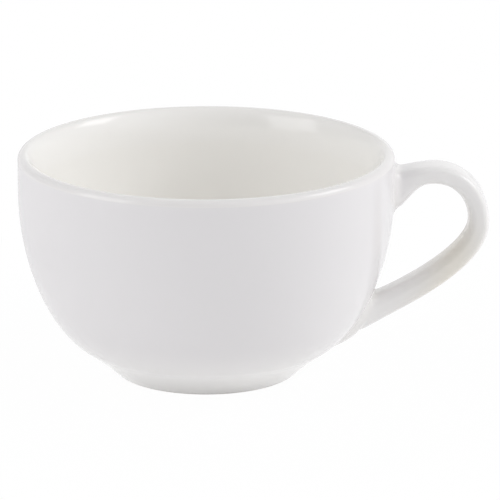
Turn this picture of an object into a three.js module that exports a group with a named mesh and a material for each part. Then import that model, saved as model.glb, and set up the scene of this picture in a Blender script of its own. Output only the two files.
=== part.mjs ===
// A bowl-shaped porcelain cup: a thick turned bowl on a foot ring, an ear handle cast by itself, and the two
// slip joints that hold the handle's roots to the wall. Millimetres, +Z up, standing on z = 0. The handle
// points along +X, and the origin is under the middle of the whole cup.
import * as THREE from 'three';

// Bowl. A pull is the length of a curve's tangent, and an angle is in degrees above the horizontal.
const height = 66; // standing face to the crest of the lip
const rimRadius = 55; // outside of the upright band under the lip
const wall = 5;
const lipRound = 2; // radius of the lip's outer edge, up to its crest
const lipEase = 10; // height over which the inside eases out to the crest
const uprightBand = 9.5; // height of the band between the belly and the lip's edge
const bellyLowerPull = 13.3;
const bellyUpperPull = 19.3;
const coveTopRadius = 36.4; // where the cove over the foot runs into the belly
const coveTopHeight = 8.1;
const coveTopAngle = 32;
const coveTopPull = 3.3;
const coveFootAngle = 45;
const coveFootPull = 2.2;
const floorRadius = 14; // flat of the inside floor
const floorPull = 7;
const floorRimPull = 8; // where the inside leaves the belly for the floor
const baseThickness = 5;

// Foot ring
const footRadius = 26.1; // outside of the flat that the cup stands on
const footWidth = 3.2; // width of that flat
const footRound = 1.4; // outer edge of the ring
const recessDepth = 2; // underside above the standing face

// Ear handle. Reaches are from the rim's outside, and drops are from the crest of the lip.
const upperRootDrop = 10.3;
const upperRootAngle = 20.4;
const upperRootPull = 4.2;
const crownReach = 11.6; // highest point of the centreline
const crownDrop = 6.5;
const crownInnerPull = 5.2;
const crownOuterPull = 7.5;
const earReach = 24.7; // farthest point of the centreline
const earDrop = 20.9;
const earUpperPull = 8.4;
const earLowerPull = 10.8;
const lowerRootHeight = 16.9;
const lowerRootAngle = 22.7;
const lowerRootPull = 14.2;
const gripWidth = 11;
const upperThickness = 5.4;
const lowerThickness = 7.1;
const ovalShare = 0.64; // section of the grip: 1 is an oval, and less is squarer
const upperFlare = 6.4; // thickness that the upper root gains as it meets the wall
const upperFlareLength = 10.6;
const lowerFlare = 1.1;
const lowerFlareLength = 13.4;
const rootSpread = 2; // width that both roots gain

// Slip joints
const jointCove = 2.5; // radius of the cove, and thickness of the slip
const clearance = 0.3; // gap between neighbouring pieces

// Facets
const bowlSides = 64;
const handleSides = 20;
const handleRings = 46;
const coveSteps = 4;
const capShares = [0.3, 0.65]; // rings inside the rim of an end face, so that it follows the wall

// How far the centreline is carried on inside the wall: the thickness of both roots together, which is far
// enough for every line of the skin to meet the wall
const rootDepth = upperThickness + upperFlare + lowerThickness + lowerFlare;

const degrees = Math.PI / 180;
const up = new THREE.Vector2(0, 1);
const down = new THREE.Vector2(0, -1);
const outward = new THREE.Vector2(1, 0);
const inward = new THREE.Vector2(-1, 0);

function heading(angle) {
  return new THREE.Vector2(Math.cos(angle * degrees), Math.sin(angle * degrees));
}

function ahead(point, direction, distance) {
  return point.clone().addScaledVector(direction, distance);
}

function arc(centreX, centreY, reachX, reachY, from, to, steps) {
  const clockwise = to < from;
  const curve = new THREE.EllipseCurve(
    centreX,
    centreY,
    reachX,
    reachY,
    from * degrees,
    to * degrees,
    clockwise,
  );
  return curve.getPoints(steps);
}

function bezier(start, startDirection, startPull, end, endDirection, endPull) {
  return new THREE.CubicBezierCurve(
    start,
    ahead(start, startDirection, startPull),
    ahead(end, endDirection, -endPull),
    end,
  );
}

// Outer wall as (radius, height): the foot's rounded edge, the cove, the belly and the upright band
const lipHeight = height - lipRound;
const footEdge = arc(footRadius, footRound, footRound, footRound, -90, coveFootAngle - 90, 4);
const coveFoot = footEdge.at(-1);
const coveTop = new THREE.Vector2(coveTopRadius, coveTopHeight);
const bellyTop = new THREE.Vector2(rimRadius, lipHeight - uprightBand);
const lipOutside = new THREE.Vector2(rimRadius, lipHeight);
const flank = heading(coveTopAngle);
const footFlank = heading(coveFootAngle);
const cove = bezier(coveFoot, footFlank, coveFootPull, coveTop, flank, coveTopPull).getPoints(5);
const belly = bezier(coveTop, flank, bellyLowerPull, bellyTop, up, bellyUpperPull).getPoints(12);
const outerWall = [...cove, ...belly.slice(1), lipOutside];

// Moves each point of an outline to the left of the way it runs
function offset(points, distance) {
  return points.map((point, i) => {
    const before = points[Math.max(i - 1, 0)];
    const after = points[Math.min(i + 1, points.length - 1)];
    const run = after.clone().sub(before).normalize();
    return new THREE.Vector2(point.x - run.y * distance, point.y + run.x * distance);
  });
}

// One turned piece: eased lip, even wall, rounded floor, and a foot ring around a shallow recess
function bowlGeometry() {
  const recessRound = recessDepth / 2;
  const ringInside = footRadius - footWidth;
  const recessEdge = ringInside - 2 * recessRound;
  const recess = arc(recessEdge, recessRound, recessRound, recessRound, 90, 0, 3);
  const ringEdge = arc(ringInside, recessRound, recessRound, recessRound, 180, 270, 3);
  const crest = rimRadius - lipRound;
  const lipFoot = height - lipEase;
  const lipOuter = arc(crest, lipHeight, lipRound, lipRound, 0, 90, 4);
  const lipInner = arc(crest, lipFoot, wall - lipRound, lipEase, 90, 180, 8);
  const innerBelly = offset(belly, wall).reverse().filter((point) => point.y < lipFoot);
  const floor = new THREE.Vector2(floorRadius, recessDepth + baseThickness);
  const innerFlank = flank.clone().negate();
  const innerTurn = bezier(innerBelly.at(-1), innerFlank, floorRimPull, floor, inward, floorPull);
  const outline = [
    new THREE.Vector2(0, recessDepth),
    ...recess,
    ...ringEdge.slice(1),
    ...footEdge,
    ...outerWall.slice(1),
    ...lipOuter.slice(1),
    ...lipInner.slice(1),
    ...innerBelly,
    ...innerTurn.getPoints(6).slice(1),
    new THREE.Vector2(0, floor.y),
  ];
  return new THREE.LatheGeometry(outline, bowlSides).rotateX(Math.PI / 2);
}

// The outer wall carried straight up past the lip, to which the roots of the handle are fitted
const seat = [...outerWall, ahead(lipOutside, up, rootDepth)];

// Point of the seat at a given height
function onSeat(level) {
  const next = seat.findIndex((point) => point.y > level);
  const below = seat[next - 1];
  return below.clone().lerp(seat[next], (level - below.y) / (seat[next].y - below.y));
}

// Gap between a point and the seat, less than zero inside it, and the seat's outward direction there
function fromSeat(point) {
  const place = new THREE.Vector2(Math.hypot(point.x, point.y), point.z);
  let nearest = Infinity;
  let gap = 0;
  let facing = outward;
  for (let i = 1; i < seat.length; i++) {
    const run = seat[i].clone().sub(seat[i - 1]);
    const share = place.clone().sub(seat[i - 1]).dot(run) / run.lengthSq();
    const away = place.clone().sub(ahead(seat[i - 1], run, THREE.MathUtils.clamp(share, 0, 1)));
    if (away.length() < nearest) {
      nearest = away.length();
      facing = new THREE.Vector2(run.y, -run.x).normalize();
      gap = away.dot(facing);
    }
  }
  const around = new THREE.Vector2(point.x, point.y).normalize();
  return { gap, facing: new THREE.Vector3(facing.x * around.x, facing.x * around.y, facing.y) };
}

// Centreline of the ear: from the wall up to the crown, out to the farthest point, and back to the wall
const upperRoot = onSeat(height - upperRootDrop);
const crown = new THREE.Vector2(rimRadius + crownReach, height - crownDrop);
const farthest = new THREE.Vector2(rimRadius + earReach, height - earDrop);
const lowerRoot = onSeat(lowerRootHeight);
const leaving = heading(upperRootAngle);
const arriving = heading(lowerRootAngle).negate();
const ear = new THREE.CurvePath();
ear.add(bezier(upperRoot, leaving, upperRootPull, crown, outward, crownInnerPull));
ear.add(bezier(crown, outward, crownOuterPull, farthest, down, earUpperPull));
ear.add(bezier(farthest, down, earLowerPull, lowerRoot, arriving, lowerRootPull));
const earLength = ear.getLength();

// Place and direction on the centreline, which runs straight on into the wall past both roots
function onEar(distance) {
  if (distance <= 0) {
    return { place: ahead(upperRoot, leaving, distance), run: leaving };
  }
  if (distance >= earLength) {
    return { place: ahead(lowerRoot, arriving, distance - earLength), run: arriving };
  }
  const share = distance / earLength;
  return { place: ear.getPoint(share), run: ear.getTangent(share) };
}

// Half thickness and half width of the section, which widens towards both roots like a cove
function section(distance) {
  const along = THREE.MathUtils.clamp(distance, 0, earLength);
  const upperGain = Math.max(1 - along / upperFlareLength, 0) ** 2;
  const lowerGain = Math.max(1 - (earLength - along) / lowerFlareLength, 0) ** 2;
  const taper = THREE.MathUtils.lerp(upperThickness, lowerThickness, along / earLength);
  return {
    halfThickness: (taper + upperFlare * upperGain + lowerFlare * lowerGain) / 2,
    halfWidth: (gripWidth + rootSpread * (upperGain + lowerGain)) / 2,
  };
}

// A sine or cosine raised to a power with its sign kept, which squares the corners of an oval
function squared(value, power) {
  return Math.sign(value) * Math.abs(value) ** power;
}

// Point of the handle at a distance along the ear, a turn around it and a share of the way out to its skin
function onHandle(distance, turn, share) {
  const { place, run } = onEar(distance);
  const { halfThickness, halfWidth } = section(distance);
  const across = share * halfThickness * squared(Math.cos(turn), ovalShare);
  const aside = share * halfWidth * squared(Math.sin(turn), ovalShare);
  return new THREE.Vector3(place.x - run.y * across, aside, place.y + run.x * across);
}

// Direction in which the skin faces there
function skinFacing(distance, turn) {
  const { run } = onEar(distance);
  const { halfThickness, halfWidth } = section(distance);
  const across = halfWidth * squared(Math.cos(turn), 2 - ovalShare);
  const aside = halfThickness * squared(Math.sin(turn), 2 - ovalShare);
  return new THREE.Vector3(-run.y * across, aside, run.x * across).normalize();
}

const middle = earLength / 2;
const upperEnd = -rootDepth;
const lowerEnd = earLength + rootDepth;

// Distance along the ear at which a line of the handle, followed from the middle to one end, nears the seat
function trim(turn, share, gap, end) {
  let far = middle;
  let near = end;
  for (let i = 0; i < 40; i++) {
    const half = (far + near) / 2;
    if (fromSeat(onHandle(half, turn, share)).gap > gap) {
      far = half;
    } else {
      near = half;
    }
  }
  return near;
}

const handleTurns = Array.from({ length: handleSides }, (_, i) => (2 * Math.PI * i) / handleSides);

// Rings of an end face at a given gap from the seat, from the middle of the face outwards
function endFace(gap, end) {
  return capShares.map((share) =>
    handleTurns.map((turn) => onHandle(trim(turn, share, gap, end), turn, share)),
  );
}

// Closed body through rings of points, with a fan over the first and the last
function loft(rings) {
  const sides = rings[0].length;
  const last = (rings.length - 1) * sides;
  const faces = [];
  for (let start = 0; start < last; start += sides) {
    for (let j = 0; j < sides; j++) {
      const here = start + j;
      const beside = start + ((j + 1) % sides);
      faces.push(here, here + sides, beside);
      faces.push(beside, here + sides, beside + sides);
    }
  }
  for (let j = 1; j < sides - 1; j++) {
    faces.push(0, j, j + 1);
    faces.push(last, last + j + 1, last + j);
  }
  const geometry = new THREE.BufferGeometry().setFromPoints(rings.flat());
  geometry.setIndex(faces);
  geometry.computeVertexNormals();
  return geometry;
}

// The ear, trimmed at both roots to the curve of the wall with room for the slip
function handleGeometry() {
  const room = jointCove + 2 * clearance;
  const lines = handleTurns.map((turn) => ({
    turn,
    from: trim(turn, 1, room, upperEnd),
    to: trim(turn, 1, room, lowerEnd),
  }));
  const rings = [];
  for (let i = 0; i <= handleRings; i++) {
    const share = i / handleRings;
    rings.push(lines.map(({ turn, from, to }) => onHandle(THREE.MathUtils.lerp(from, to, share), turn, 1)));
  }
  return loft([...endFace(room, upperEnd), ...rings, ...endFace(room, lowerEnd).reverse()]);
}

// A collar of slip at one root: it carries the handle's skin on to the wall, spread by a cove
function jointRings(end) {
  const steepest = Math.asin((jointCove - clearance) / jointCove);
  const rings = endFace(jointCove + clearance, end);
  rings.push(handleTurns.map((turn) => onHandle(trim(turn, 1, jointCove + clearance, end), turn, 1)));
  for (let i = 1; i <= coveSteps; i++) {
    const angle = (steepest * i) / coveSteps;
    const gap = jointCove * (1 - Math.sin(angle));
    const spread = jointCove * (1 - Math.cos(angle));
    rings.push(
      handleTurns.map((turn) => {
        const distance = trim(turn, 1, gap, end);
        const point = onHandle(distance, turn, 1);
        const { facing } = fromSeat(point);
        const along = skinFacing(distance, turn).projectOnPlane(facing).normalize();
        return point.addScaledVector(along, spread);
      }),
    );
  }
  return [...rings, ...endFace(clearance, end).reverse()];
}

function piece(name, geometry) {
  const glaze = new THREE.MeshStandardMaterial({ color: 0xeeecea, roughness: 0.15, metalness: 0 });
  const mesh = new THREE.Mesh(geometry, glaze);
  mesh.name = name;
  return mesh;
}

const pieces = new THREE.Group();
pieces.add(piece('bowl', bowlGeometry()));
pieces.add(piece('handle', handleGeometry()));
pieces.add(piece('upper_joint', loft(jointRings(upperEnd).reverse())));
pieces.add(piece('lower_joint', loft(jointRings(lowerEnd))));

// The origin lies under the middle of the cup's box
const box = new THREE.Box3().setFromObject(pieces);
pieces.position.x = -(box.min.x + box.max.x) / 2;

const cup = new THREE.Group();
cup.add(pieces);

export default cup;
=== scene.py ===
import bpy
import numpy as np
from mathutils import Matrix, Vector


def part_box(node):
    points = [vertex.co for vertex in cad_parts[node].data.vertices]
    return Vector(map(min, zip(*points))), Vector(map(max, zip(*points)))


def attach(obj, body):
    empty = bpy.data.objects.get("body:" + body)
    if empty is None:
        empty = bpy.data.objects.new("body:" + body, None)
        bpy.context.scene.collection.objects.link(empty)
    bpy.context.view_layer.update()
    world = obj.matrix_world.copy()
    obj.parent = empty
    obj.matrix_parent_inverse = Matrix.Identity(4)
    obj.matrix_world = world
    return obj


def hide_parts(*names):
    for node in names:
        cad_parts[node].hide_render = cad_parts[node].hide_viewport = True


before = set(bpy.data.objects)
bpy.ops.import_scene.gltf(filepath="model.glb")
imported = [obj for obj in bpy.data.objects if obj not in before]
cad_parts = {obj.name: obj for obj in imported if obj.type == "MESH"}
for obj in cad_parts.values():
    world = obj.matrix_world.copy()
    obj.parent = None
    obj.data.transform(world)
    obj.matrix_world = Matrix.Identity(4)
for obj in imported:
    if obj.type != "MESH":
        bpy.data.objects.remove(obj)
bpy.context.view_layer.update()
print("frame loaded with", sorted(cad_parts))

mm = 0.001
bowlLow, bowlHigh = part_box("bowl")
axisX = (bowlLow.x + bowlHigh.x) / 2 / mm  # the bowl is turned about this upright axis


# Colours and nodes

def linear(code):  # sRGB hex to a linear colour, by the sRGB curve
    value = np.array([int(code[i:i + 2], 16) for i in (1, 3, 5)]) / 255
    value = np.where(value <= 0.04045, value / 12.92, ((value + 0.055) / 1.055) ** 2.4)
    return (*value.tolist(), 1.0)


# Adds one node: settings go to the inputs or properties of those names, links join sockets to its inputs
def addNode(tree, kind, settings=None, links=None):
    node = tree.nodes.new(kind)
    for name, value in (settings or {}).items():
        if isinstance(name, int) or name in node.inputs:
            node.inputs[name].default_value = value
        else:
            setattr(node, name, value)
    for name, socket in (links or {}).items():
        tree.links.new(socket, node.inputs[name])
    return node


# Glazed porcelain: a white body under a thin clear glaze, fired smooth. To the eye it is a soft white with
# sharp reflections that waver a little, cool outside and creamy where the glaze ran together and pooled.
# The inside, the ear and the foot are drawn whiter, which is painted light, and the ear's lower bend and the
# ear beside the upper root darker, which is painted shade
porcelain = {
    "plainWhite": "#eeecec",
    # the lighter tone is painted light, drawn on the inside, the ear and the foot
    "paintedLight": "#fffefb",
    # the pooled tone is also painted shade over the ear's lower bend
    "poolAndShade": "#f6f1e4",
    "thin": "#f8f6f2",  # over edges
    "bare": "#f3f0ea", "bareGrain": "#e6e1d8",  # light and dark grain of the wiped foot
    "refraction": 1.5,
    "roughness": 0.1, "roughnessSpread": 0.03, "bareRoughness": 0.75,
    "waver": 14,  # mm between the swells of the glaze
    "swell": 0.012,  # mm from hollow to crest of a swell
    "grit": 0.35, "tooth": 0.03,  # mm, size and height of the bare foot's grain
    "bareBelow": 0.35,  # mm above the standing face where the glaze was wiped off
    "wander": 0.2, "wanderLength": 3, "wanderBlur": 0.04,  # mm, how far and how often the line strays
}


# Colour by how deep the glaze is and by its share of painted light, then the bare foot, then gloss and bump
# by slow swells
def glazedPorcelain():
    material = bpy.data.materials.new("glazed porcelain")
    material.use_nodes = True
    tree = material.node_tree
    shader = tree.nodes["Principled BSDF"]
    shader.inputs["IOR"].default_value = porcelain["refraction"]
    place = addNode(tree, "ShaderNodeTexCoord").outputs["Object"]
    depth = addNode(tree, "ShaderNodeAttribute", {"attribute_name": "glazeDepth"}).outputs["Fac"]
    poolAndShade = addNode(tree, "ShaderNodeMapRange", {"From Min": 0, "From Max": 1}, {"Value": depth})
    thin = addNode(tree, "ShaderNodeMapRange", {"From Min": 0, "From Max": -1}, {"Value": depth})
    # share of painted light, read from the piece
    paintedLight = addNode(tree, "ShaderNodeAttribute", {"attribute_name": "paintedLightShare"}).outputs["Fac"]
    whiteAndLight = addNode(tree, "ShaderNodeMix", {"data_type": "RGBA"}, {"Factor": paintedLight})
    whiteAndLight.inputs[6].default_value = linear(porcelain["plainWhite"])
    whiteAndLight.inputs[7].default_value = linear(porcelain["paintedLight"])
    tone = addNode(tree, "ShaderNodeMix", {"data_type": "RGBA"}, {"Factor": poolAndShade.outputs["Result"]})
    tree.links.new(whiteAndLight.outputs[2], tone.inputs[6])
    tone.inputs[7].default_value = linear(porcelain["poolAndShade"])
    worn = addNode(tree, "ShaderNodeMix", {"data_type": "RGBA"}, {"Factor": thin.outputs["Result"]})
    tree.links.new(tone.outputs[2], worn.inputs[6])
    worn.inputs[7].default_value = linear(porcelain["thin"])

    # wiped foot: everything lower than a line that wanders by a tenth of a millimetre or so
    wander = addNode(tree, "ShaderNodeTexNoise", {"Scale": 1 / (porcelain["wanderLength"] * mm), "Detail": 2},
                     {"Vector": place})
    height = addNode(tree, "ShaderNodeSeparateXYZ", None, {"Vector": place}).outputs["Z"]
    line = addNode(tree, "ShaderNodeMath", {"operation": "MULTIPLY_ADD", 1: porcelain["wander"] * mm},
                   {0: wander.outputs["Fac"], 2: height})
    top = (porcelain["bareBelow"] + porcelain["wander"] / 2) * mm
    blur = porcelain["wanderBlur"] * mm
    bare = addNode(tree, "ShaderNodeMapRange", {"From Min": top + blur, "From Max": top - blur},
                   {"Value": line.outputs["Value"]}).outputs["Result"]
    grain = addNode(tree, "ShaderNodeTexNoise", {"Scale": 1 / (porcelain["grit"] * mm), "Detail": 3},
                    {"Vector": place}).outputs["Fac"]
    biscuit = addNode(tree, "ShaderNodeMix", {"data_type": "RGBA"}, {"Factor": grain})
    biscuit.inputs[6].default_value = linear(porcelain["bareGrain"])
    biscuit.inputs[7].default_value = linear(porcelain["bare"])
    colour = addNode(tree, "ShaderNodeMix", {"data_type": "RGBA"}, {"Factor": bare})
    tree.links.new(worn.outputs[2], colour.inputs[6])
    tree.links.new(biscuit.outputs[2], colour.inputs[7])
    tree.links.new(colour.outputs[2], shader.inputs["Base Color"])

    swell = addNode(tree, "ShaderNodeTexNoise", {"Scale": 1 / (porcelain["waver"] * mm), "Detail": 1.5},
                    {"Vector": place}).outputs["Fac"]
    smooth, calm, strong = porcelain["roughness"], 0.3, 0.7  # most of the noise lies between the last two
    gloss = addNode(tree, "ShaderNodeMapRange", {"From Min": calm, "From Max": strong, "To Min": smooth,
                    "To Max": smooth + porcelain["roughnessSpread"]}, {"Value": swell})
    rough = addNode(tree, "ShaderNodeMix", {"data_type": "FLOAT", "B": porcelain["bareRoughness"]},
                    {"Factor": bare, "A": gloss.outputs["Result"]})
    tree.links.new(rough.outputs["Result"], shader.inputs["Roughness"])
    skin = addNode(tree, "ShaderNodeBump", {"Strength": 1.0, "Distance": porcelain["swell"] * mm},
                   {"Height": swell})
    tooth = addNode(tree, "ShaderNodeMath", {"operation": "MULTIPLY"}, {0: grain, 1: bare})
    ground = addNode(tree, "ShaderNodeBump", {"Strength": 1.0, "Distance": porcelain["tooth"] * mm},
                     {"Height": tooth.outputs["Value"], "Normal": skin.outputs["Normal"]})
    tree.links.new(ground.outputs["Normal"], shader.inputs["Normal"])
    return material


glaze = glazedPorcelain()
print("glaze mixed")


# Curves and skins

def heading(angle):  # unit direction at an angle above the horizontal
    return np.array([np.cos(np.radians(angle)), np.sin(np.radians(angle))])


# Cubic curve between two points, each with a pull along its tangent: Bernstein weights times the four
# control points
def bezier(start, startPull, end, endPull, steps):
    t = np.linspace(0, 1, steps + 1)
    weights = np.stack([(1 - t) ** 3, 3 * t * (1 - t) ** 2, 3 * t ** 2 * (1 - t), t ** 3], axis=1)
    start, end = np.asarray(start, float), np.asarray(end, float)
    return weights @ np.stack([start, start + startPull, end - endPull, end])


# Arc of an ellipse: centre + (reach cos angle, reach sin angle)
def arc(centre, reach, fromAngle, toAngle, steps):
    angle = np.radians(np.linspace(fromAngle, toAngle, steps + 1))
    return np.asarray(centre, float) + np.stack([np.cos(angle), np.sin(angle)], axis=1) * reach


# Each point moved to the left of the way the line runs
def offset(line, distance):
    run = np.gradient(line, axis=0)
    run /= np.linalg.norm(run, axis=1, keepdims=True)
    return line + np.stack([-run[:, 1], run[:, 0]], axis=1) * distance


# Closed skin from a grid of points, rows by turns: quads between neighbouring rows, round and round, and a
# fan of triangles from a middle point over the first and the last row
def closedSkin(grid, first, last):
    rows, turns = grid.shape[:2]
    index = np.arange(rows * turns).reshape(rows, turns)
    beside = np.roll(index, -1, axis=1)
    quads = np.stack([index[:-1], beside[:-1], beside[1:], index[1:]], axis=-1).reshape(-1, 4)
    startFan = np.stack([np.full(turns, rows * turns), beside[0], index[0]], axis=1)
    endFan = np.stack([np.full(turns, rows * turns + 1), index[-1], beside[-1]], axis=1)
    points = np.concatenate([grid.reshape(-1, 3), [first, last]])
    return points, quads.tolist() + startFan.tolist() + endFan.tolist()


# One closed piece with its glaze depth and its share of painted light as attributes, which rides on the cup's
# only body and stands for its CAD node
def makePiece(name, node, points, faces, depth, paintedLight, normals=None):
    mesh = bpy.data.meshes.new(name)
    mesh.from_pydata((points * mm).tolist(), [], faces)
    mesh.polygons.foreach_set("use_smooth", np.ones(len(faces), bool))
    mesh.attributes.new("glazeDepth", "FLOAT", "POINT").data.foreach_set("value", depth.astype(np.float32))
    mesh.attributes.new("paintedLightShare", "FLOAT", "POINT").data.foreach_set("value", paintedLight.astype(np.float32))
    if normals is not None:
        mesh.normals_split_custom_set_from_vertices(normals.tolist())
    mesh.materials.append(glaze)
    mesh.update()
    piece = bpy.data.objects.new(name, mesh)
    bpy.context.scene.collection.objects.link(piece)
    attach(piece, "root")
    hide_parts(node)
    print(name, "made with", len(faces), "faces")


# Bowl, all lengths in millimetres

bowlForm = {
    "height": 66, "rimRadius": 55, "wall": 5, "uprightBand": 9.5,
    "lipRound": 2,  # outer edge of the lip, up to its crest
    "lipEase": 10,  # height over which the inside eases out to the crest
    "bellyLowerPull": 13.3, "bellyUpperPull": 19.3,
    "coveTop": (36.4, 8.1), "coveTopAngle": 32, "coveTopPull": 3.3,  # where the foot's cove meets the belly
    "coveFootAngle": 45, "coveFootPull": 2.2,
    "floorRadius": 14, "floorPull": 7, "floorRimPull": 8, "baseThickness": 5,
    "footRadius": 26.1, "footWidth": 3.2, "footRound": 1.4, "recessDepth": 2,
    "takeover": 3,  # way along the section over which the inside's painted light takes over from the plain white
    "bendReach": 1.2,  # bends of about this radius or tighter show deeper or thinner glaze
    "creamToFloor": 0.3,  # share of the pooled tone that the inside has at the floor
    "footLight": 0.75, "footLightBelow": 20, "footLightSteep": 1.3,  # share of painted light from the floor over the foot, the height by which it fades out, and how steeply
    "steps": {"footEdge": 10, "cove": 20, "belly": 60, "lip": 14, "ease": 30, "turnIn": 24, "ringEdge": 8},
    "linePoints": {"band": 9, "plain": 8, "ring": 6},  # points of the straight stretches
    "turns": 256,
}


# Half section of the bowl as (radius, height), from the middle of the underside round the foot, up the
# outside, over the lip and down the inside to the middle of the floor: arcs at the edges, cubic curves for
# cove and belly, and for the inside the belly moved in by the wall
def bowlSection(form):
    steps, linePoints = form["steps"], form["linePoints"]
    lipHeight = form["height"] - form["lipRound"]
    footEdge = arc((form["footRadius"], form["footRound"]), form["footRound"],
                   -90, form["coveFootAngle"] - 90, steps["footEdge"])
    flank = heading(form["coveTopAngle"])
    cove = bezier(footEdge[-1], heading(form["coveFootAngle"]) * form["coveFootPull"],
                  form["coveTop"], flank * form["coveTopPull"], steps["cove"])
    bellyTop = (form["rimRadius"], lipHeight - form["uprightBand"])
    belly = bezier(form["coveTop"], flank * form["bellyLowerPull"], bellyTop,
                   np.array([0, form["bellyUpperPull"]]), steps["belly"])
    band = np.linspace(bellyTop, (form["rimRadius"], lipHeight), linePoints["band"])
    outer = np.concatenate([cove, belly[1:], band[1:]])
    crest = form["rimRadius"] - form["lipRound"]
    ease = (form["wall"] - form["lipRound"], form["lipEase"])
    lip = np.concatenate([
        arc((crest, lipHeight), form["lipRound"], 0, 90, steps["lip"]),
        arc((crest, form["height"] - form["lipEase"]), ease, 90, 180, steps["ease"])[1:],
    ])
    inner = offset(belly, form["wall"])[::-1]
    innerBand = np.linspace(lip[-1], inner[0], linePoints["plain"])
    floor = form["recessDepth"] + form["baseThickness"]
    turnIn = bezier(inner[-1], -flank * form["floorRimPull"], (form["floorRadius"], floor),
                    np.array([-form["floorPull"], 0]), steps["turnIn"])
    flat = np.linspace(turnIn[-1], (0, floor), linePoints["plain"])
    recessRound = form["recessDepth"] / 2
    ringInside = form["footRadius"] - form["footWidth"]
    recess = arc((ringInside - 2 * recessRound, recessRound), recessRound, 90, 0, steps["ringEdge"])
    ringEdge = arc((ringInside, recessRound), recessRound, 180, 270, steps["ringEdge"])
    under = np.linspace((0, form["recessDepth"]), recess[0], linePoints["plain"])
    ring = np.linspace(ringEdge[-1], footEdge[0], linePoints["ring"])
    line = np.concatenate([under, recess[1:], ringEdge[1:], ring[1:], footEdge[1:], outer[1:], lip[1:],
                           innerBand[1:], inner[1:], turnIn[1:], flat[1:]])
    return line, outer


def smoothStep(value):  # three times the square less twice the cube, with the value kept between 0 and 1
    value = np.clip(value, 0, 1)
    return value ** 2 * (3 - 2 * value)


# Depth of the glaze, as the hyperbolic tangent of minus the line's bend times a reach: it pools in hollows
# (towards 1) and thins over edges (towards -1)
def glazeByBend(line, reach):
    run = np.gradient(line, axis=0)
    turn = np.gradient(np.unwrap(np.arctan2(run[:, 1], run[:, 0])))
    bend = turn / np.linalg.norm(run, axis=1)  # one over the radius, above zero on edges
    return np.tanh(-bend * reach)


section, outerWall = bowlSection(bowlForm)
around = np.linspace(0, 2 * np.pi, bowlForm["turns"], endpoint=False)
rings = section[1:-1]
# Turned surface: (axis + radius cos turn, radius sin turn, height)
bowlGrid = np.stack([
    axisX + rings[:, :1] * np.cos(around),
    rings[:, :1] * np.sin(around),
    np.broadcast_to(rings[:, 1:], (len(rings), len(around))),
], axis=-1)
points, faces = closedSkin(bowlGrid, (axisX, 0, section[0, 1]), (axisX, 0, section[-1, 1]))
# The inside's painted light starts at the lip's crest and takes over along the section, so that the inside is
# drawn whiter than the outside; the inside takes more of the pooled tone towards its floor, and painted light
# from the floor whitens the outside over the foot
alongSection = np.append(0, np.cumsum(np.linalg.norm(np.diff(section, axis=0), axis=1)))
pastCrest = alongSection - alongSection[section[:, 1].argmax()]
insideLight = smoothStep(pastCrest / bowlForm["takeover"] + 0.5)
creamToFloor = bowlForm["creamToFloor"] * insideLight * np.clip(1 - section[:, 1] / bowlForm["height"], 0, 1)
sectionDepth = glazeByBend(section, bowlForm["bendReach"]) + creamToFloor
depth = np.append(np.repeat(sectionDepth[1:-1], len(around)), [0, creamToFloor[-1]])
# painted light from the floor: the outside drawn whiter over the foot
nearFoot = bowlForm["footLightSteep"] * (1 - section[:, 1] / bowlForm["footLightBelow"])
footLight = bowlForm["footLight"] * smoothStep(nearFoot)
litShare = np.maximum(insideLight, footLight)
paintedLight = np.append(np.repeat(litShare[1:-1], len(around)), litShare[[0, -1]])
makePiece("porcelain_bowl", "bowl", points, faces, depth, paintedLight)


# Ear handle with its two slip joints, one skin cut into three closed pieces

earForm = {
    "upperRootDrop": 10.3, "upperRootAngle": 20.4, "upperRootPull": 4.2,
    "crownReach": 11.6, "crownDrop": 6.5, "crownInnerPull": 5.2, "crownOuterPull": 7.5,
    "earReach": 24.7, "earDrop": 20.9, "earUpperPull": 8.4, "earLowerPull": 10.8,
    "lowerRootHeight": 16.9, "lowerRootAngle": 22.7, "lowerRootPull": 14.2,
    "gripWidth": 11, "upperThickness": 5.4, "lowerThickness": 7.1,
    "ovalOutside": 0.5, "ovalInside": 0.66,  # 1 is an oval section, less is squarer
    "upperFlare": 6.4, "upperFlareLength": 10.6, "lowerFlare": 1.1, "lowerFlareLength": 13.4,
    "rootSpread": 2,
    "cove": 2.5,  # radius of the smoothed slip
    "sink": 0.4,  # how far the slip's edge runs in under the wall's skin
    "tongue": 5.5, "tongueHeight": 2.5,  # slip pressed down the wall under the lower root
    "paintedLight": 0.7,  # share of the lighter tone on the ear, painted light that draws it whiter than the wall
    "lightAtRoot": 0.25, "rootShadeReach": 8,  # less painted light beside the upper root, which paints shade there, and how far along the ear
    "poolAndShade": 0.8, "shadeAt": 0.62, "shadeSpread": 0.16,  # painted shade in the pooled tone over the ear's lower bend, by share of the ear
    "covePool": 0.1,  # glaze gathered in the coves
    "turns": 96, "rows": 150, "coveRows": 20, "lineSteps": (200, 300, 400), "halvings": 34,
}

# How far the centreline is carried on inside the wall
rootDepth = 2 * (earForm["lowerThickness"] + earForm["cove"])
seat = np.concatenate([outerWall, outerWall[-1:] + (0, rootDepth)])  # wall that the roots are fitted to
seatRun = np.diff(seat, axis=0)
seatLength = np.linalg.norm(seatRun, axis=1)
seatFacing = np.stack([seatRun[:, 1], -seatRun[:, 0]], axis=1) / seatLength[:, None]


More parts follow.
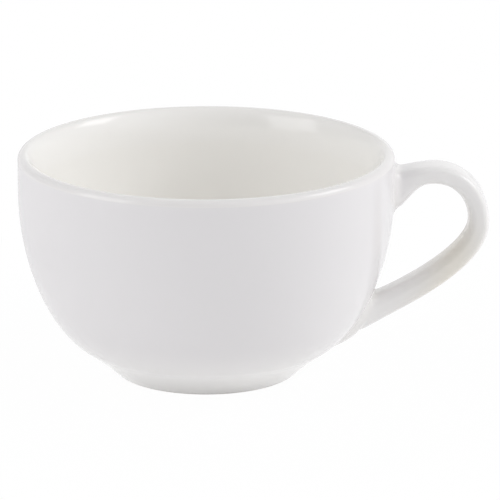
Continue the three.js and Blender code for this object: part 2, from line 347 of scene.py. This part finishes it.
# Gap from points to the seat, below zero inside it, and the seat's outward direction there, both taken from
# the nearest straight of its section
def fromSeat(points):
    radius = np.hypot(points[..., 0], points[..., 1])
    place = np.stack([radius, points[..., 2]], axis=-1)[..., None, :]
    share = np.clip(((place - seat[:-1]) * seatRun).sum(-1) / seatLength ** 2, 0, 1)
    away = place - seat[:-1] - share[..., None] * seatRun
    nearest = (away ** 2).sum(-1).argmin(-1)
    away = np.take_along_axis(away, nearest[..., None, None], axis=-2)[..., 0, :]
    facing = seatFacing[nearest]
    outX, outY = points[..., 0] / radius, points[..., 1] / radius
    outward = np.stack([facing[..., 0] * outX, facing[..., 0] * outY, facing[..., 1]], axis=-1)
    return (away * facing).sum(-1), outward


def earLine(form):  # centreline in three curves, carried straight on inside the wall at both roots
    upperHeight, lowerHeight = bowlForm["height"] - form["upperRootDrop"], form["lowerRootHeight"]
    upperRoot = np.array([np.interp(upperHeight, seat[:, 1], seat[:, 0]), upperHeight])
    lowerRoot = np.array([np.interp(lowerHeight, seat[:, 1], seat[:, 0]), lowerHeight])
    crown = np.array([bowlForm["rimRadius"] + form["crownReach"], bowlForm["height"] - form["crownDrop"]])
    farthest = np.array([bowlForm["rimRadius"] + form["earReach"], bowlForm["height"] - form["earDrop"]])
    leaving, arriving = heading(form["upperRootAngle"]), -heading(form["lowerRootAngle"])
    out, down = np.array([1.0, 0]), np.array([0, -1.0])
    few, more, most = form["lineSteps"]
    ear = np.concatenate([
        bezier(upperRoot, leaving * form["upperRootPull"], crown, out * form["crownInnerPull"], few),
        bezier(crown, out * form["crownOuterPull"], farthest, down * form["earUpperPull"], more)[1:],
        bezier(farthest, down * form["earLowerPull"], lowerRoot, arriving * form["lowerRootPull"], most)[1:],
    ])
    length = np.append(0, np.cumsum(np.linalg.norm(np.diff(ear, axis=0), axis=1)))
    line = np.concatenate([[upperRoot - leaving * rootDepth], ear, [lowerRoot + arriving * rootDepth]])
    run = np.concatenate([[leaving], np.gradient(ear, length, axis=0), [arriving]])
    run[1], run[-2] = leaving, arriving
    return line, run, np.concatenate([[-rootDepth], length, [length[-1] + rootDepth]]), length[-1]


earPlace, earRun, earAt, earLength = earLine(earForm)


def onEar(distance):  # place and direction of the centreline, straight between its points
    place = np.stack([np.interp(distance, earAt, earPlace[:, i]) for i in (0, 1)], axis=-1)
    run = np.stack([np.interp(distance, earAt, earRun[:, i]) for i in (0, 1)], axis=-1)
    return place, run / np.linalg.norm(run, axis=-1, keepdims=True)


# Half thickness and half width of the section: the thickness changes evenly along the ear, and both gain by
# the square of the nearness to a root
def halfSizes(distance):
    along = np.clip(distance, 0, earLength)
    upper = np.maximum(1 - along / earForm["upperFlareLength"], 0) ** 2
    lower = np.maximum(1 - (earLength - along) / earForm["lowerFlareLength"], 0) ** 2
    gain = earForm["lowerThickness"] - earForm["upperThickness"]
    taper = earForm["upperThickness"] + gain * along / earLength
    thick = taper + earForm["upperFlare"] * upper + earForm["lowerFlare"] * lower
    return thick / 2, (earForm["gripWidth"] + earForm["rootSpread"] * (upper + lower)) / 2


def squared(value, power):  # a power with the sign kept, which squares the corners of an oval
    return np.sign(value) * np.abs(value) ** power


def ovalShare(turn):  # squarer on the outside of the ear than on the finger side
    return np.where(np.cos(turn) < 0, earForm["ovalInside"], earForm["ovalOutside"])


# Skin of the ear: centreline + half thickness cos turn across it + half width sin turn to the side, with both
# squared a little
def onHandle(distance, turn):
    place, run = onEar(distance)
    thick, wide = halfSizes(distance)
    across = thick * squared(np.cos(turn), ovalShare(turn))
    aside = wide * squared(np.sin(turn), ovalShare(turn))
    return np.stack([place[..., 0] - run[..., 1] * across, aside,
                     place[..., 1] + run[..., 0] * across], axis=-1)


# The section's own outward direction: the half sizes change places, and the power becomes 2 less itself
def skinFacing(distance, turn):
    run = onEar(distance)[1]
    thick, wide = halfSizes(distance)
    across = wide * squared(np.cos(turn), 2 - ovalShare(turn))
    aside = thick * squared(np.sin(turn), 2 - ovalShare(turn))
    facing = np.stack([-run[..., 1] * across, aside, run[..., 0] * across], axis=-1)
    return facing / np.linalg.norm(facing, axis=-1, keepdims=True)


# Distance along the ear at which each line of the skin comes within a gap of the wall, by halving
def trim(turn, gap, end):
    far, near = np.full(turn.shape, earLength / 2), np.full(turn.shape, end)
    for _ in range(earForm["halvings"]):
        half = (far + near) / 2
        outside = fromSeat(onHandle(half, turn))[0] > gap
        far, near = np.where(outside, half, far), np.where(outside, near, half)
    return near


# Cove from the skin down to the wall: at angle a the gap is R(1 - sin a) and the spread along the wall is
# R(1 - cos a). A tongue of slip spreads it further on the underside, by a quarter of an ellipse, and each row
# is then set back to its gap from the curved wall
def coveRows(angle, end, tongue):
    cove, sink = earForm["cove"], earForm["sink"]
    gap = np.append(cove * (1 - np.sin(angle)), -sink)
    bulge = np.sqrt(np.clip(1 - (gap / earForm["tongueHeight"]) ** 2, 0, 1))
    under = tongue * np.clip(np.cos(handleTurn), 0, 1) ** 2
    spread = np.append(cove * (1 - np.cos(angle)), cove + sink)[:, None] + bulge[:, None] * under
    turn, gap = np.broadcast_arrays(handleTurn[None, :], gap[:, None])
    distance = trim(turn, gap, end)
    point = onHandle(distance, turn)
    facing = fromSeat(point)[1]
    skin = skinFacing(distance, turn)
    along = skin - (skin * facing).sum(-1, keepdims=True) * facing
    along /= np.linalg.norm(along, axis=-1, keepdims=True)
    point = point + along * spread[..., None]
    reached, facing = fromSeat(point)
    return point + facing * (gap - reached)[..., None]


handleTurn = np.linspace(0, 2 * np.pi, earForm["turns"], endpoint=False)
coveAngle = np.linspace(0, np.pi / 2, earForm["coveRows"] + 1)
start = trim(handleTurn, earForm["cove"], -rootDepth)
stop = trim(handleTurn, earForm["cove"], earLength + rootDepth)
share = np.linspace(0, 1, earForm["rows"] + 1)[:, None]
grip = onHandle(start + (stop - start) * share, np.broadcast_to(handleTurn, (len(share), len(handleTurn))))
upperCove = coveRows(coveAngle[1:], -rootDepth, 0)[::-1]
lowerCove = coveRows(coveAngle[1:], earLength + rootDepth, earForm["tongue"])
skinGrid = np.concatenate([upperCove, grip, lowerCove]) + (axisX, 0, 0)

# Directions of the whole skin, so that the three pieces shade as one: slope along the rows times slope
# around, where the edges under the wall take the slope of the rows beside them
alongRows = np.gradient(skinGrid[1:-1], axis=0)
alongRows = np.concatenate([alongRows[:1], alongRows, alongRows[-1:]])
roundTurns = np.roll(skinGrid, -1, axis=1) - np.roll(skinGrid, 1, axis=1)
skinNormals = np.cross(roundTurns, alongRows)
skinNormals /= np.linalg.norm(skinNormals, axis=-1, keepdims=True)

# Glaze pools in the coves, most where they bend half way; the lower bend of the ear is darkened in the pooled
# tone, which is painted shade, by a bell curve along it
pool = np.append(np.sin(2 * coveAngle[1:]), 0) * earForm["covePool"]
lowerBendShade = np.exp(-((share - earForm["shadeAt"]) / earForm["shadeSpread"]) ** 2)
gripDepth = np.broadcast_to(earForm["poolAndShade"] * lowerBendShade, grip.shape[:2])
skinDepth = np.concatenate([np.repeat(pool[::-1, None], len(handleTurn), axis=1), gripDepth,
                            np.repeat(pool[:, None], len(handleTurn), axis=1)])
# The ear's painted light is less beside the upper root, which paints shade there, and across each cove it
# fades out towards the wall's
fade = np.append(np.cos(coveAngle[1:]), 0)
pastRootShade = smoothStep(share[:, 0] * earLength / earForm["rootShadeReach"])
gripLight = earForm["lightAtRoot"] + (earForm["paintedLight"] - earForm["lightAtRoot"]) * pastRootShade
skinLight = np.concatenate([fade[::-1] * earForm["lightAtRoot"], gripLight, fade * earForm["paintedLight"]])


# Rows of the skin from low to high as one closed piece, with a middle point over each end that faces along it
def cutSkin(name, node, low, high):
    grid, facing = skinGrid[low:high + 1], skinNormals[low:high + 1]
    first, last = grid[0].mean(axis=0), grid[-1].mean(axis=0)
    points, faces = closedSkin(grid, first, last)
    ends = np.stack([first - grid[1].mean(axis=0), last - grid[-2].mean(axis=0)])
    normals = np.concatenate([facing.reshape(-1, 3), ends / np.linalg.norm(ends, axis=1, keepdims=True)])
    depth = np.append(skinDepth[low:high + 1].ravel(), [0, 0])
    paintedLight = np.append(np.repeat(skinLight[low:high + 1], len(handleTurn)), [0, 0])
    makePiece(name, node, points, faces, depth, paintedLight, normals)


upperLast, lowerFirst = len(upperCove), len(upperCove) + len(grip) - 1
cutSkin("porcelain_upper_joint", "upper_joint", 0, upperLast)
cutSkin("porcelain_handle", "handle", upperLast, lowerFirst)
cutSkin("porcelain_lower_joint", "lower_joint", lowerFirst, len(skinGrid) - 1)


# Floor, light and camera

# Matt white studio board, even and without grain: to the camera and in reflections it is mostly plain white,
# with the object's own soft shadow in it
floorForm = {
    "reach": 12, "drop": 0.00005,  # metres; a hair under the foot, so that the two faces don't share a plane
    "white": 0.975,  # share of plain white that the camera sees near the cup, and all of it farther off
    "mirrored": 0.3,  # share of it that reflections see far off, and all of it near the cup
    "nearRadius": 0.06, "farRadius": 0.16,  # metres
    "colour": "#fcfcfc", "roughness": 0.9, "specular": 0.1,
}


# A flat square; the share of white goes smoothly from near to far by the distance from the middle
def studioFloor(form):
    mesh = bpy.data.meshes.new("studio_floor")
    corners = np.array([(-1, -1, 0), (1, -1, 0), (1, 1, 0), (-1, 1, 0)]) * form["reach"]
    corners = corners - (0, 0, form["drop"])
    mesh.from_pydata(corners.tolist(), [], [(0, 1, 2, 3)])
    material = bpy.data.materials.new("matt white studio board")
    material.use_nodes = True
    tree = material.node_tree
    board = tree.nodes["Principled BSDF"]
    board.inputs["Base Color"].default_value = linear(form["colour"])
    board.inputs["Roughness"].default_value = form["roughness"]
    board.inputs["Specular IOR Level"].default_value = form["specular"]
    place = addNode(tree, "ShaderNodeTexCoord").outputs["Object"]
    away = addNode(tree, "ShaderNodeVectorMath", {"operation": "LENGTH"}, {"Vector": place})
    white, mirrored = [
        addNode(tree, "ShaderNodeMapRange",
                {"interpolation_type": "SMOOTHSTEP", "To Min": near, "To Max": far,
                 "From Min": form["nearRadius"], "From Max": form["farRadius"]},
                {"Value": away.outputs["Value"]})
        for near, far in ((form["white"], 1.0), (1.0, form["mirrored"]))
    ]
    ray = addNode(tree, "ShaderNodeLightPath").outputs
    glossy = addNode(tree, "ShaderNodeMath", {"operation": "MULTIPLY"},
                     {0: ray["Is Glossy Ray"], 1: mirrored.outputs["Result"]})
    seen = addNode(tree, "ShaderNodeMath", {"operation": "MAXIMUM"},
                   {0: ray["Is Camera Ray"], 1: glossy.outputs["Value"]})
    seen = addNode(tree, "ShaderNodeMath", {"operation": "MAXIMUM"},
                   {0: seen.outputs["Value"], 1: ray["Is Transmission Ray"]})
    part = addNode(tree, "ShaderNodeMath", {"operation": "MULTIPLY"},
                   {0: white.outputs["Result"], 1: seen.outputs["Value"]})
    shine = addNode(tree, "ShaderNodeEmission", {"Color": (1, 1, 1, 1), "Strength": 1.0})
    mix = addNode(tree, "ShaderNodeMixShader", None, {"Fac": part.outputs["Value"]})
    tree.links.new(board.outputs["BSDF"], mix.inputs[1])
    tree.links.new(shine.outputs["Emission"], mix.inputs[2])
    tree.links.new(mix.outputs["Shader"], tree.nodes["Material Output"].inputs["Surface"])
    mesh.materials.append(material)
    floor = bpy.data.objects.new("studio_floor", mesh)
    bpy.context.scene.collection.objects.link(floor)


studioFloor(floorForm)

# Soft boxes on both sides of the cup, in metres and degrees; a turn counts from the camera's side, to the
# right above zero
softBoxes = {
    "left_softbox": {"turn": -63, "rise": 17, "away": 0.9, "size": (0.56, 0.62), "level": 2.1,
                     "colour": "#fdfdff"},
    "right_softbox": {"turn": 86, "rise": 34, "away": 0.9, "size": (0.38, 0.36), "level": 3.44,
                      "colour": "#fdfdff"},
}
aimHeight = 0.032  # metres, about half way up the cup
aim = Vector((axisX * mm, 0, aimHeight))
for name, box in softBoxes.items():
    lamp = bpy.data.lights.new(name, "AREA")
    lamp.shape = "RECTANGLE"
    lamp.size, lamp.size_y = box["size"]
    # an even glow of that level over the whole face
    lamp.energy = np.pi * lamp.size * lamp.size_y * box["level"]
    lamp.color = linear(box["colour"])[:3]
    turn, rise = np.radians(box["turn"]), np.radians(box["rise"])
    toward = Vector((np.sin(turn) * np.cos(rise), -np.cos(turn) * np.cos(rise), np.sin(rise)))
    holder = bpy.data.objects.new(name, lamp)
    holder.location = aim + toward * box["away"]
    holder.rotation_euler = toward.to_track_quat("Z", "Y").to_euler()
    bpy.context.scene.collection.objects.link(holder)

# Room of soft glows, each fading by a power of the cosine from the way it comes; the backdrop behind the cup
# is plain white to the camera, and reflections show it too
roomGlows = {
    "backdrop": {"way": (0, 1, 0.15), "fade": 4, "level": 1.155, "colour": "#fdfdff"},
    "left_ceiling": {"way": (-0.7, 0, 0.7), "fade": 4, "level": 1.08, "colour": "#fdfdff"},
    "right_ceiling": {"way": (0.7, 0, 0.7), "fade": 4, "level": 0.7, "colour": "#fdfdff"},
    "right_wall": {"way": (0.9, 0.4, 0.1), "fade": 6, "level": 0.355, "colour": "#fdfdff"},
    "front_right": {"way": (0.8, -0.6, 0.2), "fade": 4, "level": 1.265, "colour": "#fdfdff"},
}
world = bpy.data.worlds.new("white room")
bpy.context.scene.world = world
world.use_nodes = True
tree = world.node_tree
sky = addNode(tree, "ShaderNodeTexCoord").outputs["Generated"]
shares, room = {}, tree.nodes["Background"]
room.inputs["Color"].default_value = (0, 0, 0, 1)
for name, glow in roomGlows.items():
    way = Vector(glow["way"]).normalized()
    facing = addNode(tree, "ShaderNodeVectorMath", {"operation": "DOT_PRODUCT", 1: way}, {0: sky})
    toward = addNode(tree, "ShaderNodeMath", {"operation": "MAXIMUM", 1: 0.0}, {0: facing.outputs["Value"]})
    shares[name] = addNode(tree, "ShaderNodeMath", {"operation": "POWER", 1: glow["fade"]},
                           {0: toward.outputs["Value"]})
    level = addNode(tree, "ShaderNodeMath", {"operation": "MULTIPLY", 1: glow["level"]},
                    {0: shares[name].outputs["Value"]})
    light = addNode(tree, "ShaderNodeBackground", {"Color": linear(glow["colour"])},
                    {"Strength": level.outputs["Value"]})
    room = addNode(tree, "ShaderNodeAddShader", None, {0: room.outputs[0], 1: light.outputs["Background"]})
ray = addNode(tree, "ShaderNodeLightPath").outputs
mirrored = addNode(tree, "ShaderNodeMath", {"operation": "MULTIPLY"},
                   {0: ray["Is Glossy Ray"], 1: shares["backdrop"].outputs["Value"]})
seen = addNode(tree, "ShaderNodeMath", {"operation": "MAXIMUM"},
               {0: ray["Is Camera Ray"], 1: ray["Is Transmission Ray"]})
seen = addNode(tree, "ShaderNodeMath", {"operation": "MAXIMUM"},
               {0: seen.outputs["Value"], 1: mirrored.outputs["Value"]})
white = addNode(tree, "ShaderNodeBackground", {"Color": (1, 1, 1, 1), "Strength": 1.0})
mix = addNode(tree, "ShaderNodeMixShader", None, {"Fac": seen.outputs["Value"]})
tree.links.new(room.outputs[0], mix.inputs[1])
tree.links.new(white.outputs["Background"], mix.inputs[2])
tree.links.new(mix.outputs["Shader"], tree.nodes["World Output"].inputs["Surface"])
print("floor and light set")

# Long lens from the front, a little above; it looks past the bowl's axis, so that the handle is in the frame
cameraForm = {
    "rise": 16.29,  # degrees above the horizon
    "away": 1.3, "aside": 0.0128, "above": 0.0038,  # metres from the aim, and past it
    "lens": 318.7, "sensor": 36,  # mm
    "seesTo": 100,  # metres
}
rise = np.radians(cameraForm["rise"])
back = Vector((0, -np.cos(rise), np.sin(rise)))
upright = Vector((0, np.sin(rise), np.cos(rise)))
lens = bpy.data.cameras.new("camera")
lens.lens = cameraForm["lens"]
lens.sensor_width = cameraForm["sensor"]
lens.clip_end = cameraForm["seesTo"]
camera = bpy.data.objects.new("camera", lens)
camera.location = aim + back * cameraForm["away"]
target = aim + Vector((cameraForm["aside"], 0, 0)) + upright * cameraForm["above"]
camera.rotation_euler = (target - camera.location).to_track_quat("-Z", "Y").to_euler()
bpy.context.scene.collection.objects.link(camera)
bpy.context.scene.camera = camera
bpy.context.scene.view_settings.view_transform = "Standard"
print("camera set")
